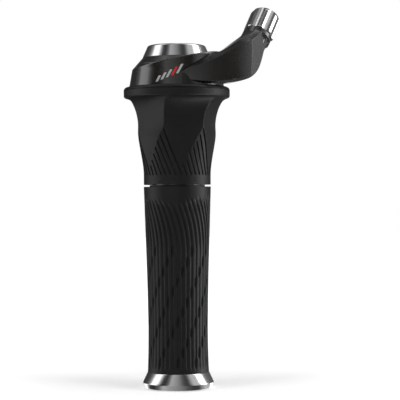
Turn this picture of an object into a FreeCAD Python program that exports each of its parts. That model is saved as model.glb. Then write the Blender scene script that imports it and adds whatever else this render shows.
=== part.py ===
import FreeCAD
import Part

import math
import os

from FreeCAD import Placement, Rotation, Vector

# A twist grip shifter for a bicycle's flat handlebar, with its lock-on grip.
# The handlebar's axis is Z. The outboard end is at Z = 0 and +Z runs inboard.
# The cable boom points to +X, and -Y is the side that carries the cover.
# From outboard to inboard: lock ring, fixed grip, twist grip, housing, clamp ring.

# Handlebar
bar_radius = 11.1
bar_clearance = 0.1

# Lengths along the bar
lock_ring_height = 7.9
grip_rubber_length = 92.2
turning_gap = 1.0
twist_length = 48.6
clamp_ring_height = 6.1

# Walls, plays and general clearances
core_wall = 1.5
tube_wall = 0.9
sleeve_wall = 0.95
snug = 0.05
loose = 0.4
slice_margin = 5.0

# Ball bearings between the inner tube and the twist sleeve
ball_radius = 0.95
ball_play = 0.025
balls_per_row = 8
cage_height = 3.6
cage_wall = 0.9
pocket_play = 0.1
first_row_height = 6.5
last_row_height = 50.5
row_names = ("outboard", "middle", "inboard")

# Fixed grip
grip_inboard_radius = 16.75
grip_middle_radius = 15.4
grip_waist_radius = 14.9
grip_outboard_radius = 15.25
grip_waist_height = 22.0
grip_middle_height = 50.0
collar_radius = 13.8
collar_height = 4.0
collar_proud = 0.8

# Jaws that lock the inner tube to the grip core
jaw_count = 3
jaw_angle = 50.0
jaw_height = 2.8

# Lock ring and clamp ring
lock_ring_radius = 17.65
lock_ring_waist = 3.6
lock_ring_foot_radius = 15.9
clamp_ring_radius = 17.0
clamp_ring_shoulder = 4.6
clamp_ring_shoulder_radius = 14.95
clamp_ring_round = 1.3
ring_slit = 1.2
finger_slit = 1.5
finger_count = 4
clamp_lug_width = 13.0
clamp_lug_height = 5.4
clamp_lug_reach = 18.6

# Pinch bolts
bolt_radius = 1.5
bolt_head_radius = 2.35
bolt_head_height = 2.6
bolt_hex_across = 2.0
bolt_hex_depth = 1.5
bolt_length = 9.0
bolt_hole_play = 0.1

# Twist grip
twist_end_radius = 16.7
twist_waist_radius = 19.7
twist_band_height = 4.3
twist_waist_height = 29.0
lip_radius = 26.5
lip_wall = 2.0
lip_round = 1.8
flare_radius = 13.6
flare_corner = 1.6
flange_depth = 4.5
flange_thickness = 2.0
scoop_count = 6
scoop_crest_angle = -108.0
scoop_tip_height = 8.7
scoop_full_height = 28.4
scoop_depth = 3.2
scoop_hollow_radius = 65.0
scoop_tip_slope = 0.1
scoop_overlap = 1.12
scoop_crest_play = 0.1
scoop_flare_radius = 12.4
scoop_flare_end = 82.0
scoop_steps = 6
scoop_tip_swing = 6.5
scoop_top_swing = 14.0
rib_groove_width = 0.95
rib_groove_depth = 0.5
rib_groove_lean = 20.0
rib_groove_margin = 2.6
ribs_per_scoop = 7
sleeve_end_gap = 0.2
inner_lip_start = 1.9
inner_lip_height = 1.0
inner_lip_play = 0.8

# Cable drum, click ring and click spring
cable_radius = 0.6
cable_circle = 18.6
cable_pull_per_click = 3.5
click_count = 10
drum_height = 6.2
drum_radius = 19.9
cable_groove_height = 5.0
cable_head_radius = 2.1
cable_head_depth = 3.8
cable_head_angle = -100.0
drum_screw_angles = (40.0, 160.0, 280.0)
click_ring_height = 1.8
click_ring_radius = 18.9
notch_radius = 1.15
notch_circle = 19.35
nose_play = 0.1
spring_thickness = 0.45
spring_radius = 20.05
spring_half_angle = 35.0
spring_tab = 0.6
stop_height = 1.8
stop_lug_angle = 10.0
stop_rib_angle = 8.0
stop_lug_centre = 150.0
stop_play = 0.5

# Small screws
screw_radius = 0.9
screw_head_radius = 1.5
screw_head_height = 1.1
drum_screw_length = 9.0
tube_screw_length = 5.0
cover_screw_length = 3.6

# Housing
housing_skirt_radius = 24.1
housing_skirt_depth = 2.1
housing_shoulder_radius = 22.2
housing_shoulder_drop = 6.0
housing_neck_radius = 16.9
housing_slope = 0.2
housing_slope_drop = 1.4
housing_edge_round = 0.8
cavity_play = 0.6
cavity_radius = 20.8
roof_thickness = 5.0
tube_flange_radius = 17.8
tube_flange_thickness = 2.4
tube_flange_seat = 1.2
washer_thickness = 0.8
washer_width = 2.2
washer_play = 0.1
retaining_ring_thickness = 0.6
retaining_groove_depth = 0.4
cover_thickness = 1.2
cover_seam = 0.15
cover_start_angle = -262.0
cover_end_angle = -42.0
cover_rise = 1.2
cover_corner_x = 2.5
cover_corner_rise = 5.6
cover_slant = 25.6
cover_shoulder_radius = 20.1
cover_screw_angle = -222.0

# Cable boom and barrel adjuster
barrel_foot_x = 40.9
barrel_foot_rise = 26.0
barrel_direction = Vector(0.34, 0.50, 0.80).normalize()
barrel_radius = 7.65
barrel_length = 13.4
barrel_flutes = 8
barrel_flute_depth = 0.9
barrel_flute_radius = 4.2
barrel_dome_height = 3.2
barrel_end_radius = 5.2
barrel_skirt_depth = 4.4
neck_radius = 5.4
neck_tip_gap = 0.1
neck_length = 6.0
neck_pocket_radius = 4.5
neck_pocket_depth = 8.5
key_width = 1.6
key_reach = 0.5
index_sleeve_length = 5.4
shank_radius = 2.9
shank_length = 15.0
thread_play = 0.05
insert_radius = 4.2
insert_length = 8.0
cable_housing_radius = 2.55
cable_housing_depth = 6.4
cable_way_radius = 1.2
boom_bore_radius = 1.2
boom_stations = (
    # centre above the twist grip, heading, half height, half depth, upper bevel and lower bevel
    ((-3.0, -14.8, 6.7), (1.0, 0.0, 0.0), 5.2, 6.1, (5.0, 8.0), (0.8, 0.8)),
    ((11.0, -15.4, 7.95), (1.0, 0.02, 0.05), 7.25, 7.0, (8.6, 6.05), (2.0, 1.0)),
    ((21.5, -14.0, 8.45), (1.0, 0.12, 0.18), 7.8, 6.9, (6.2, 2.5), (3.0, 1.0)),
    ((28.6, -12.2, 10.55), (0.88, 0.26, 0.42), 8.95, 6.4, (4.6, 1.8), (2.8, 1.2)),
    ((34.3, -9.8, 14.65), (0.78, 0.42, 0.46), 8.9, 6.0, (4.2, 2.2), (2.4, 1.2)),
    ((38.0, -6.4, 20.0), (0.48, 0.50, 0.72), 7.2, 6.0, (3.8, 3.0), (4.4, 4.4)),
)
boom_back_bevel = 3.0
boom_collar_radius = 6.9
boom_collar_length = 2.4
boom_trim_x = 38.6
boom_trim_y = -13.0
boom_trim_angle = -33.5
boom_trim_size = 40.0
adjuster_wire_radius = 0.3
adjuster_coils = 3

# Places along the bar
grip_bottom = lock_ring_height
grip_top = grip_bottom + grip_rubber_length
twist_bottom = grip_top + turning_gap
twist_top = twist_bottom + twist_length
flange_bottom = twist_top - flange_depth
flange_top = flange_bottom + flange_thickness
drum_top = flange_top + drum_height
click_top = drum_top + click_ring_height
cavity_top = click_top + cavity_play
tube_flange_bottom = cavity_top + tube_flange_seat
roof = tube_flange_bottom + tube_flange_thickness
spigot_top = tube_flange_bottom - washer_thickness - 2 * washer_play
clamp_bottom = roof + roof_thickness
bar_end = clamp_bottom + clamp_ring_height
housing_bottom = twist_top - housing_skirt_depth
shoulder = clamp_bottom - housing_shoulder_drop
core_top = grip_top + collar_proud
jaw_bottom = core_top - jaw_height

# Radii that follow from each other
bore_radius = bar_radius + bar_clearance
core_radius = bore_radius + core_wall
tube_radius = bore_radius + tube_wall
race_radius = tube_radius + 2 * (ball_radius + ball_play)
sleeve_radius = race_radius + sleeve_wall
ball_circle = (tube_radius + race_radius) / 2
flange_radius = lip_radius - lip_wall
drum_bore = sleeve_radius + snug

# Motion
click_angle = math.degrees(cable_pull_per_click / cable_circle)
twist_travel = click_count * click_angle
back_angle = 90.0


def polar(radius, angle, height=0.0):
    a = math.radians(angle)
    return Vector(radius * math.cos(a), radius * math.sin(a), height)


def turned(shape, angle):
    copy = shape.copy()
    copy.rotate(Vector(), Vector(0, 0, 1), angle)
    return copy


def ring_of(shape, count, first=0.0, step=None):
    step = 360.0 / count if step is None else step
    return Part.makeCompound([turned(shape, first + k * step) for k in range(count)])


def tube(inner, outer, low, high):
    outside = Part.makeCylinder(outer, high - low, Vector(0, 0, low))
    return outside.cut(Part.makeCylinder(inner, high - low, Vector(0, 0, low)))


def disc(radius, low, high):
    return Part.makeCylinder(radius, high - low, Vector(0, 0, low))


def section(*items):
    """A closed face in the XZ plane from points (radius, height) and ready-made edges."""
    edges = []
    last = first = None
    for item in items:
        if isinstance(item, tuple):
            start = end = Vector(item[0], 0, item[1])
        else:
            start, end = item.valueAt(item.FirstParameter), item.valueAt(item.LastParameter)
        if last is not None and (start - last).Length > 1e-6:
            edges.append(Part.makeLine(last, start))
        if not isinstance(item, tuple):
            edges.append(item)
        first = start if first is None else first
        last = end
    edges.append(Part.makeLine(last, first))
    return Part.Face(Part.Wire(edges))


def arc(centre, radius, start, end):
    """An arc in the XZ plane. Angles are from the radial direction towards +Z."""
    def at(angle):
        a = math.radians(angle)
        return Vector(centre[0] + radius * math.cos(a), 0, centre[1] + radius * math.sin(a))

    return Part.Arc(at(start), at((start + end) / 2), at(end)).toShape()


def arc_through(*points):
    return Part.Arc(*[Vector(r, 0, z) for r, z in points]).toShape()


def curve(points):
    spline = Part.BSplineCurve()
    spline.interpolate([Vector(r, 0, z) for r, z in points])
    return spline.toShape()


def spun(face, angle=360.0):
    return face.revolve(Vector(), Vector(0, 0, 1), angle)


def sector(inner, outer, low, high, centre_angle, width):
    face = section((inner, low), (outer, low), (outer, high), (inner, high))
    return turned(spun(face, width), centre_angle - width / 2)


def blend(t):
    t = max(0.0, min(1.0, t))
    return t * t * (3 - 2 * t)


# Fixed grip

def grip_side():
    low, high = grip_bottom, grip_top
    waist = (grip_waist_radius, low + grip_waist_height)
    middle = (grip_middle_radius, low + grip_middle_height)
    bend = (waist[0] + 0.12, (waist[1] + middle[1]) / 2 - 4)
    return (arc_through((grip_outboard_radius, low), (waist[0] + 0.05, low + 11), waist),
            arc_through(waist, bend, middle),
            arc_through(middle, (grip_middle_radius + 0.62, (middle[1] + high) / 2),
                        (grip_inboard_radius, high)))


def grip_rubber():
    collar_bottom = core_top - collar_height
    face = section(
        (core_radius, grip_bottom), *grip_side(),
        (collar_radius, grip_top), (collar_radius, collar_bottom), (core_radius, collar_bottom))
    return spun(face)


def finger_slots(top, bottom, radius):
    """Slots across a tube's end, so that a clamp can close it on the bar."""
    width = 2 * (radius + slice_margin)
    blade = Part.makeBox(width, finger_slit, top - bottom, Vector(-width / 2, -finger_slit / 2, bottom))
    return ring_of(blade, finger_count // 2, 45.0, 180.0 / (finger_count // 2))


def grip_core():
    body = tube(bore_radius, core_radius, 0, core_top)
    collar = tube(bore_radius, collar_radius, core_top - collar_height, core_top)
    pocket = disc(tube_radius + snug, jaw_bottom, core_top)
    gap = 360.0 / jaw_count - jaw_angle - 2.0
    teeth = ring_of(
        sector(bore_radius, tube_radius + snug, jaw_bottom, core_top, 60.0, gap), jaw_count)
    slots = finger_slots(lock_ring_height - finger_slit, 0, core_radius)
    return body.fuse(collar).cut(pocket).fuse(teeth.Solids).cut(slots).removeSplitter()


def lock_ring():
    foot = (lock_ring_foot_radius, 0.0)
    belly = Part.Arc(
        Vector(foot[0], 0, foot[1]),
        Vector(lock_ring_radius - 0.45, 0, lock_ring_waist * 0.42),
        Vector(lock_ring_radius, 0, lock_ring_waist)).toShape()
    cone = curve([
        (lock_ring_radius, lock_ring_waist),
        (lock_ring_radius - 0.22, lock_ring_waist + 1.1),
        (grip_outboard_radius + 0.05, lock_ring_height)])
    inner = core_radius + snug
    body = spun(section((inner, 0.0), belly, cone, (inner, lock_ring_height)))
    slit = Part.makeBox(
        ring_slit, 2 * lock_ring_radius, lock_ring_height, Vector(-ring_slit / 2, 0, 0))
    return body.cut(slit).cut(bolt_hole(lock_bolt_place()))


# Pinch bolts: each lies across its ring's slit, with its head on the +X side

def lock_bolt_place():
    radius = core_radius + snug + bolt_head_radius + 0.1
    return Placement(Vector(0, radius, lock_ring_waist), Rotation(Vector(0, 0, 1), Vector(1, 0, 0)))


def clamp_bolt_place():
    radius = clamp_lug_reach - bolt_head_radius - 0.4
    height = clamp_bottom + loose + clamp_lug_height / 2
    return Placement(Vector(0, radius, height), Rotation(Vector(0, 0, 1), Vector(1, 0, 0)))


def bolt_seat():
    return bolt_length / 2 - bolt_head_height / 2


def bolt_hole(place):
    """Clearance hole with its counterbore, along local Z."""
    seat = bolt_seat()
    play = bolt_hole_play
    deep = Part.makeCylinder(bolt_radius + play, bolt_length + 1, Vector(0, 0, seat - bolt_length - 0.5))
    pocket = Part.makeCylinder(bolt_head_radius + play, 4 * bolt_head_height, Vector(0, 0, seat))
    hole = deep.fuse(pocket)
    hole.Placement = place
    return hole


def bolt(place):
    seat = bolt_seat()
    shank = Part.makeCylinder(bolt_radius, bolt_length, Vector(0, 0, seat - bolt_length))
    head = Part.makeCylinder(bolt_head_radius, bolt_head_height, Vector(0, 0, seat))
    top = seat + bolt_head_height
    corner = bolt_hex_across / math.sqrt(3)
    points = [polar(corner, 60.0 * k, top - bolt_hex_depth) for k in range(7)]
    socket = Part.Face(Part.makePolygon(points)).extrude(Vector(0, 0, bolt_hex_depth))
    body = shank.fuse(head).removeSplitter().cut(socket)
    body.Placement = place
    return body


def clamp_ring():
    inner = tube_radius + snug
    low, high = clamp_bottom, bar_end
    corner = clamp_ring_round
    face = section(
        (inner, low), (clamp_ring_radius, low),
        (clamp_ring_shoulder_radius, low + clamp_ring_shoulder),
        arc((clamp_ring_shoulder_radius - corner - 0.2, high - corner), corner, 20, 90),
        (inner, high))
    lug = Part.makeBox(
        clamp_lug_width, clamp_lug_reach - inner, clamp_lug_height,
        Vector(-clamp_lug_width / 2, inner, low + loose))
    corners = [e for e in lug.Edges if abs(e.CenterOfMass.y - clamp_lug_reach) < 0.01]
    lug = lug.makeFillet(1.0, corners).cut(disc(inner, low, high))
    slit = Part.makeBox(ring_slit, clamp_lug_reach + slice_margin, clamp_ring_height,
                        Vector(-ring_slit / 2, 0, low))
    return spun(face).fuse(lug).removeSplitter().cut(slit).cut(bolt_hole(clamp_bolt_place()))


# Inner tube: fixed to the housing, carries the twist grip

def tube_screw_place(angle):
    circle = (tube_radius + tube_flange_radius) / 2 + 0.6
    return Placement(polar(circle, angle, tube_flange_bottom), Rotation())


def screw(length):
    """A flush-head screw along local Z, head at the origin, with a cross recess."""
    head = Part.makeCone(screw_head_radius, screw_radius, screw_head_height)
    shank = Part.makeCylinder(screw_radius, length)
    blade = Part.makeBox(2.4, 0.5, 0.6, Vector(-1.2, -0.25, 0))
    cross = blade.copy()
    cross.rotate(Vector(), Vector(0, 0, 1), 90)
    return head.fuse(shank).removeSplitter().cut(blade.fuse(cross))


def screw_hole(length):
    head = Part.makeCone(screw_head_radius + snug, screw_radius + snug, screw_head_height)
    shank = Part.makeCylinder(screw_radius + snug, length + snug)
    mouth = Part.makeCylinder(screw_head_radius + snug, slice_margin, Vector(0, 0, -slice_margin))
    return head.fuse([shank, mouth])


def placed(shape, place):
    copy = shape.copy()
    copy.Placement = place
    return copy


def tube_screw_places():
    return [tube_screw_place(angle) for angle in (30.0, 150.0, 270.0)]


def tube_screws():
    return Part.makeCompound([placed(screw(tube_screw_length), p) for p in tube_screw_places()])


def tube_screw_holes():
    return Part.makeCompound([placed(screw_hole(tube_screw_length), p) for p in tube_screw_places()])


def retaining_low():
    """The retaining ring sits under the washer that is under the sleeve's inner lip."""
    return twist_bottom + inner_lip_start - 2 * washer_play - washer_thickness - retaining_ring_thickness


def inner_tube():
    body = tube(bore_radius, tube_radius, core_top + washer_play, bar_end)
    flange = tube(bore_radius, tube_flange_radius, tube_flange_bottom, roof)
    teeth = ring_of(
        sector(bore_radius, tube_radius, jaw_bottom + washer_play, core_top + 2 * washer_play,
               0.0, jaw_angle), jaw_count)
    low = retaining_low()
    groove = tube(tube_radius - retaining_groove_depth, tube_radius + 1,
                  low - snug, low + retaining_ring_thickness + snug)
    slots = finger_slots(bar_end, clamp_bottom + 0.6, tube_radius)
    body = body.fuse([flange] + teeth.Solids).removeSplitter()
    return body.cut(groove).cut(slots).cut(tube_screw_holes())


def retaining_ring():
    low = retaining_low()
    body = tube(tube_radius - retaining_groove_depth + snug, tube_radius + 1.2,
                low, low + retaining_ring_thickness)
    return body.cut(sector(0.5, tube_radius + 2, low - 1, low + 2, back_angle, 30.0))


def washer(low):
    return tube(tube_radius + snug, tube_radius + snug + washer_width - 0.4, low,
                low + washer_thickness)


def outboard_washer():
    return washer(retaining_low() + retaining_ring_thickness + washer_play)


def inboard_washer():
    low = spigot_top + washer_play
    return tube(tube_radius + snug, sleeve_radius + 0.4, low, low + washer_thickness)


# Ball bearings

def row_height(index):
    step = (last_row_height - first_row_height) / (len(row_names) - 1)
    return twist_bottom + first_row_height + index * step


def ball_row(index):
    ball = Part.makeSphere(ball_radius, Vector(ball_circle, 0, row_height(index)))
    return ring_of(ball, balls_per_row)


def ball_cage(index):
    middle = row_height(index)
    low = middle - cage_height / 2
    body = tube(ball_circle - cage_wall / 2, ball_circle + cage_wall / 2, low, low + cage_height)
    pocket = Part.makeCylinder(ball_radius + pocket_play, 2 * cage_wall,
                               Vector(ball_circle - cage_wall, 0, middle), Vector(1, 0, 0))
    return body.cut(ring_of(pocket, balls_per_row))


# Twist grip

def flare_end_angle():
    reach = lip_radius - twist_waist_radius
    return math.degrees(math.acos(1 - reach / (flare_radius + flare_corner)))


def crest_radius(height):
    """Radius of the twist grip's crests at a height, up to the lip."""
    if height > twist_waist_height:
        rise = min(height - twist_waist_height, flare_radius)
        return twist_waist_radius + flare_radius - math.sqrt(flare_radius ** 2 - rise ** 2)
    share = (height - twist_band_height) / (twist_waist_height - twist_band_height)
    return twist_end_radius + (twist_waist_radius - twist_end_radius) * blend(share)


def crest_section():
    base = twist_bottom
    count = 10
    rise = (twist_waist_height - twist_band_height) / count
    heights = [0, twist_band_height / 2] + [twist_band_height + k * rise for k in range(count + 1)]
    side = curve([(crest_radius(h), base + h) for h in heights])
    angle = flare_end_angle()
    waist = base + twist_waist_height
    flare = arc((twist_waist_radius + flare_radius, waist), flare_radius, 180, 180 - angle)
    corner_height = waist + (flare_radius + flare_corner) * math.sin(math.radians(angle))
    corner = arc((lip_radius - flare_corner, corner_height), flare_corner, -angle, 0)
    top = arc((lip_radius - lip_round, twist_top - lip_round), lip_round, 0, 90)
    return section(
        (sleeve_radius, base), side, flare, corner, top,
        (flange_radius, twist_top), (flange_radius, flange_bottom), (sleeve_radius, flange_bottom))


def scoop_depth_at(height):
    share = scoop_share(height)
    return scoop_depth * (scoop_tip_slope * share + (1 - scoop_tip_slope) * share * abs(share))


def crest_reach(floor):
    """Radius at which a hollow of the usual width meets its neighbour, from its floor radius."""
    centre = floor + scoop_hollow_radius
    half = math.radians(180.0 / scoop_count)
    return centre * math.cos(half) - math.sqrt(scoop_hollow_radius ** 2 - (centre * math.sin(half)) ** 2)


def scoop_stations():
    """Height, floor radius, crest radius and swing of a hollow, from its thin tip to the lip."""
    stations = []
    for step in range(-1, scoop_steps):
        height = scoop_tip_height + (scoop_full_height - scoop_tip_height) * step / (scoop_steps - 1)
        floor = crest_radius(height) - scoop_depth_at(height)
        swing = scoop_tip_swing * (scoop_share(height) - 1)
        stations.append((height, floor, crest_reach(floor), swing))
    floor = stations[-1][1]
    for step in range(1, scoop_steps + 1):
        angle = math.radians(scoop_flare_end * step / scoop_steps)
        height = scoop_full_height + scoop_flare_radius * math.sin(angle)
        stations.append((height, floor + scoop_flare_radius * (1 - math.cos(angle)),
                         crest_radius(height) + scoop_crest_play,
                         scoop_top_swing * (step / scoop_steps) ** 2))
    return stations


def scoop():
    """Cutter for one hollow, lofted through level slices whose inner side is a wide arc."""
    wires = []
    far = lip_radius + slice_margin
    half = math.radians(180.0 / scoop_count)
    for height, floor, crest, swing in scoop_stations():
        z = twist_bottom + height
        wide = crest * math.sin(half) * scoop_overlap
        edge = floor + (crest * math.cos(half) - floor) * scoop_overlap ** 2
        inner = Part.Arc(Vector(edge, -wide, z), Vector(floor, 0, z), Vector(edge, wide, z)).toShape()
        sides = Part.makePolygon([Vector(edge, wide, z), Vector(far, wide, z),
                                  Vector(far, -wide, z), Vector(edge, -wide, z)])
        wire = Part.Wire([inner] + sides.Edges)
        wire.rotate(Vector(), Vector(0, 0, 1), swing)
        wires.append(wire)
    return Part.makeLoft(wires, True, False)


def scoop_share(height):
    return (height - scoop_tip_height) / (scoop_full_height - scoop_tip_height)


def left_leg(height):
    """Angle from the crest to the edge of the hollow on its left, at a height below the crest's apex."""
    radius = crest_radius(height)
    depth = max(0.0, scoop_depth_at(height))
    half_width = math.sqrt(2 * depth / (1 / radius + 1 / scoop_hollow_radius))
    swing = scoop_tip_swing * (scoop_share(height) - 1)
    return swing - 180.0 / scoop_count + math.degrees(half_width / radius)


def rib_groove(low, start):
    """One groove that leans from a start angle on the end band up to the hollow on its left."""
    lean = math.tan(math.radians(rib_groove_lean))
    step = 0.25
    high, angle = low, start
    while angle > left_leg(high) + rib_groove_margin and high < scoop_full_height:
        high += step
        angle -= math.degrees(step * lean / crest_radius(high))
    if high - low < 2.0:
        return None
    wires = []
    for height, at in ((low, start), (high, angle)):
        inner = crest_radius(height) - rib_groove_depth
        outer = inner + 3.0
        corners = [Vector(r, side * rib_groove_width / 2, twist_bottom + height)
                   for r, side in ((inner, -1), (outer, -1), (outer, 1), (inner, 1), (inner, -1))]
        wire = Part.makePolygon(corners)
        wires.append(turned(wire, at))
    return Part.makeLoft(wires, True, True)


def rib_grooves():
    """Leaning grooves that fill the triangle between two hollows."""
    pitch = 360.0 / scoop_count / ribs_per_scoop
    low = twist_band_height + 0.4
    first = 180.0 / scoop_count - pitch / 2
    grooves = [rib_groove(low, first - k * pitch) for k in range(ribs_per_scoop)]
    return [g for g in grooves if g is not None]


def twist_rubber():
    body = spun(crest_section())
    hollows = ring_of(scoop(), scoop_count, scoop_crest_angle + 180.0 / scoop_count)
    body = body.cut(hollows)
    grooves = [turned(g, scoop_crest_angle + k * 360.0 / scoop_count)
               for k in range(scoop_count) for g in rib_grooves()]
    return body.cut(Part.makeCompound(grooves))


def drum_screw_places():
    radius = (drum_bore + cable_circle - cable_radius) / 2
    flip = Rotation(Vector(1, 0, 0), 180)
    return [Placement(polar(radius, angle, click_top), flip) for angle in drum_screw_angles]


def drum_screws():
    return Part.makeCompound([placed(screw(drum_screw_length), p) for p in drum_screw_places()])


def drum_screw_holes():
    return Part.makeCompound([placed(screw_hole(drum_screw_length), p) for p in drum_screw_places()])


def twist_sleeve():
    low = twist_bottom + sleeve_end_gap
    lip_low = twist_bottom + inner_lip_start
    lip_high = lip_low + inner_lip_height
    lip_in = tube_radius + inner_lip_play
    face = section(
        (race_radius, low), (sleeve_radius, low), (sleeve_radius, flange_bottom),
        (flange_radius, flange_bottom), (flange_radius, flange_top), (sleeve_radius, flange_top),
        (sleeve_radius, spigot_top), (race_radius, spigot_top), (race_radius, lip_high),
        (lip_in, lip_high), (lip_in, lip_low), (race_radius, lip_low))
    return spun(face).cut(drum_screw_holes())


def cable_head_pocket(radius, low, high):
    pocket = disc(radius, low, high)
    pocket.translate(polar(drum_radius - cable_head_radius - 0.3, cable_head_angle))
    return pocket


def cable_drum():
    """Winds the cable in its groove. The cable's head drops into a pocket that opens on top."""
    body = tube(drum_bore, drum_radius, flange_top, drum_top)
    lug = sector(drum_radius - 1, cavity_radius - 0.2, flange_top + 0.6,
                 flange_top + 0.6 + stop_height, stop_lug_centre, stop_lug_angle)
    middle = flange_top + cable_groove_height
    half = cable_radius + 0.1
    groove = Part.makeTorus(cable_circle, half, Vector(0, 0, middle))
    mouth = tube(cable_circle, drum_radius + 1, middle - half, middle + half)
    head = cable_head_pocket(cable_head_radius, drum_top - cable_head_depth, drum_top)
    return body.fuse(lug).cut(groove.fuse(mouth)).cut(head).cut(drum_screw_holes())


def click_ring():
    body = tube(drum_bore, click_ring_radius, drum_top, click_top)
    notch = disc(notch_radius, drum_top, click_top)
    notch.translate(polar(notch_circle, back_angle))
    notches = ring_of(notch, click_count + 1, 0.0, click_angle)
    head = cable_head_pocket(cable_head_radius + 0.2, drum_top, click_top)
    return body.cut(notches).cut(head).cut(drum_screw_holes())


def click_spring():
    """A leaf that lies along the housing's wall. Its nose drops into the click ring's notches."""
    low, high = drum_top + 0.2, click_top - 0.2
    leaf = sector(spring_radius, spring_radius + spring_thickness, low, high, back_angle,
                  2 * spring_half_angle)
    nose = disc(notch_radius - nose_play, low, high)
    nose.translate(polar(notch_circle, back_angle))
    nose = nose.cut(tube(spring_radius + spring_thickness, spring_radius + 5, low, high))
    tabs = [sector(spring_radius, cavity_radius + spring_tab, low, high,
                   back_angle + side * spring_half_angle, 2.4) for side in (-1, 1)]
    return leaf.fuse([nose] + tabs).removeSplitter()


# Housing and boom

def slope_height(x):
    return clamp_bottom - housing_slope_drop + housing_slope * x


def housing_body(inset=0.0):
    """The housing without its boom, a stepped cone under a sloping top, drawn in by an inset."""
    low = housing_bottom
    cone = section(
        (0, low), (housing_skirt_radius - inset, low),
        (housing_shoulder_radius - inset, shoulder - inset / 2),
        (housing_neck_radius - inset, clamp_bottom - inset), (0, clamp_bottom - inset))
    column = disc(housing_shoulder_radius - inset, low, bar_end)
    size = 4 * housing_skirt_radius
    above = Part.makeBox(size, size, size, Vector(-size / 2, -size / 2, 0))
    tilt = -math.degrees(math.atan(housing_slope))
    above.rotate(Vector(), Vector(0, 1, 0), tilt)
    above.translate(Vector(0, 0, slope_height(0) - inset))
    raised = column.cut(above)
    if inset == 0.0:
        rim = [e for e in raised.Edges if e.BoundBox.ZMax > shoulder + 2 and e.BoundBox.XLength > 20]
        raised = raised.makeFillet(housing_edge_round, rim[:1])
    return spun(cone).fuse(raised)


def bevelled_section(centre, heading, half_height, half_depth, upper, lower):
    """A closed outline square to the heading, with its front bevelled more than its back."""
    heading = Vector(*heading).normalize()
    front = Vector(0, 0, 1).cross(heading).normalize() * -1
    up = heading.cross(front).normalize() * -1
    if up.z < 0:
        up = up * -1
    back = boom_back_bevel
    corners = (
        (half_depth, half_height - upper[1]), (half_depth - upper[0], half_height),
        (back - half_depth, half_height), (-half_depth, half_height - back),
        (-half_depth, back - half_height), (back - half_depth, -half_height),
        (half_depth - lower[0], -half_height), (half_depth, lower[1] - half_height))
    points = [centre + front * w + up * h for w, h in corners]
    return Part.makePolygon(points + points[:1])


def barrel_foot():
    return Vector(barrel_foot_x, 0.0, twist_top + barrel_foot_rise)


def along_barrel(distance):
    return barrel_foot() + barrel_direction * distance


def barrel_place():
    return Placement(barrel_foot(), Rotation(Vector(0, 0, 1), barrel_direction))


def boom_outside(play=0.0):
    """The boom leaves the housing's front at a tangent, then turns up and back to its collar."""
    direction = barrel_direction
    rise = Vector(0, 0, twist_top)
    wires = [bevelled_section(Vector(*centre) + rise, heading, high + play, deep + play, upper, lower)
             for centre, heading, high, deep, upper, lower in boom_stations]
    wrist = boom_collar_radius
    bevel = wrist * (1 - math.tan(math.radians(22.5)))
    collar_foot = -neck_tip_gap - boom_collar_length
    wires.append(bevelled_section(
        along_barrel(collar_foot), direction, wrist, wrist, (bevel, bevel), (bevel, bevel)))
    size = boom_trim_size
    beyond = Part.makeBox(size, 2 * size, 2 * size, Vector(play, -size, -size))
    beyond.rotate(Vector(), Vector(0, 0, 1), boom_trim_angle)
    beyond.translate(Vector(boom_trim_x, boom_trim_y, barrel_foot().z))
    body = Part.makeLoft(wires, True, False).cut(beyond)
    collar = Part.makeCylinder(wrist, boom_collar_length, along_barrel(collar_foot), direction)
    neck = Part.makeCylinder(
        neck_radius, neck_length + barrel_skirt_depth - neck_tip_gap,
        along_barrel(-neck_length), direction)
    return body.fuse(collar).fuse(neck)


def boom_bore():
    """The cable's way from the drum's groove, at a tangent, to the adjuster's thread."""
    start = Vector(-4.0, -cable_circle, flange_top + cable_groove_height)
    end = along_barrel(insert_low() + 1.0)
    way = Part.BezierCurve()
    way.setPoles([start, start + Vector(22.0, 0, 0), end - barrel_direction * 12.0, end])
    circle = Part.Wire(Part.Circle(start, Vector(1, 0, 0), boom_bore_radius).toShape())
    return Part.Wire(way.toShape()).makePipeShell([circle], True, False)


def neck_floor():
    return barrel_skirt_depth - neck_tip_gap - neck_pocket_depth


def insert_low():
    return neck_floor() - insert_length


def neck_hollows():
    """Spring pocket, key slots and insert seat in the boom's neck, in the barrel's own frame."""
    floor = neck_floor()
    pocket = Part.makeCylinder(neck_pocket_radius, neck_pocket_depth + 1, Vector(0, 0, floor))
    width = key_width + 2 * snug
    reach = neck_pocket_radius + key_reach + snug
    corner = Vector(-reach, -width / 2, index_low() - 0.2)
    slot = Part.makeBox(2 * reach, width, neck_pocket_depth, corner)
    seat = Part.makeCylinder(insert_radius + snug, insert_length, Vector(0, 0, insert_low()))
    return placed(pocket.fuse([slot, seat]), barrel_place())


def spring_seats():
    """Slots in the cavity's wall for the click spring's tabs."""
    low, high = drum_top + 0.1, click_top - 0.1
    return Part.makeCompound([
        sector(cavity_radius - 1, cavity_radius + spring_tab + 0.1, low, high,
               back_angle + side * spring_half_angle, 3.0) for side in (-1, 1)])


def stop_ribs():
    """Ribs in the cavity that the drum's lug meets at either end of the twist."""
    low = flange_top + 0.6
    half = stop_lug_angle / 2 + stop_rib_angle / 2 + stop_play
    places = (stop_lug_centre + half, stop_lug_centre - half - twist_travel)
    return [sector(drum_radius + 0.2, cavity_radius + 0.5, low, low + stop_height, a,
                   stop_rib_angle) for a in places]


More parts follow.
